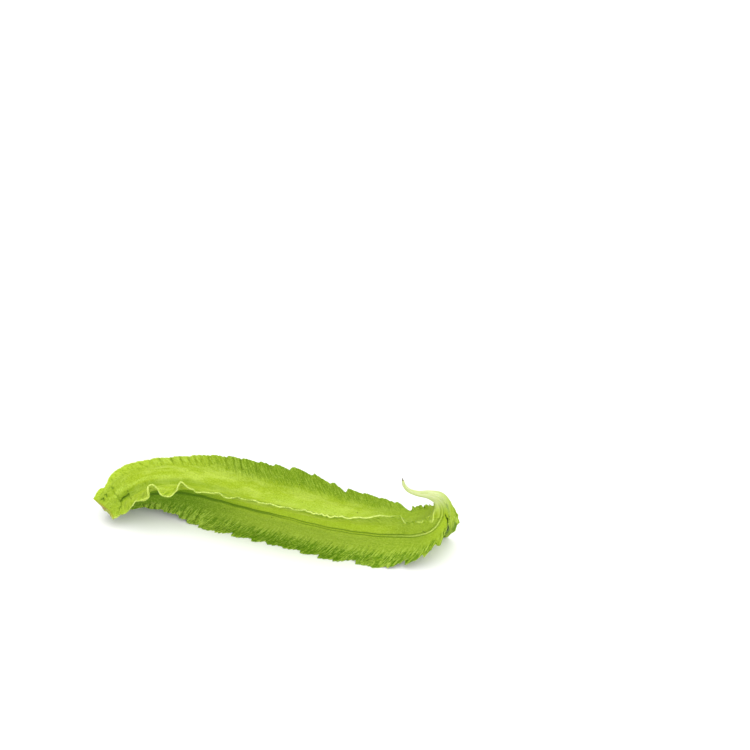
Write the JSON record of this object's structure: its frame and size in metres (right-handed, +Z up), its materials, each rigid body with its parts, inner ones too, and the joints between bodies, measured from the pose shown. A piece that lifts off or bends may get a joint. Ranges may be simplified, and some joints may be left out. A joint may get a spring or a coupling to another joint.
{
  "type": "winged bean pod",
  "caption": "Fresh winged bean pod lying on a surface: long four-sided body, a thin lobed wing along each corner, a seam down each wide face and a hooked beak at one end.",
  "frame": {"origin": "centre of the pod's own box, on the surface that it lies on", "axes": "+X along the pod from its cut stem end to its beak, +Z up from the surface, -Y towards the viewer in the picture"},
  "size_m": [0.171, 0.0396, 0.04],
  "materials": {
    "pod_skin": "fresh plant skin, yellow-green with paler wing edges and beak, soft waxy sheen"
  },
  "bodies": {
    "root": {"pod": "pod_skin"}
  },
  "joints": []
}
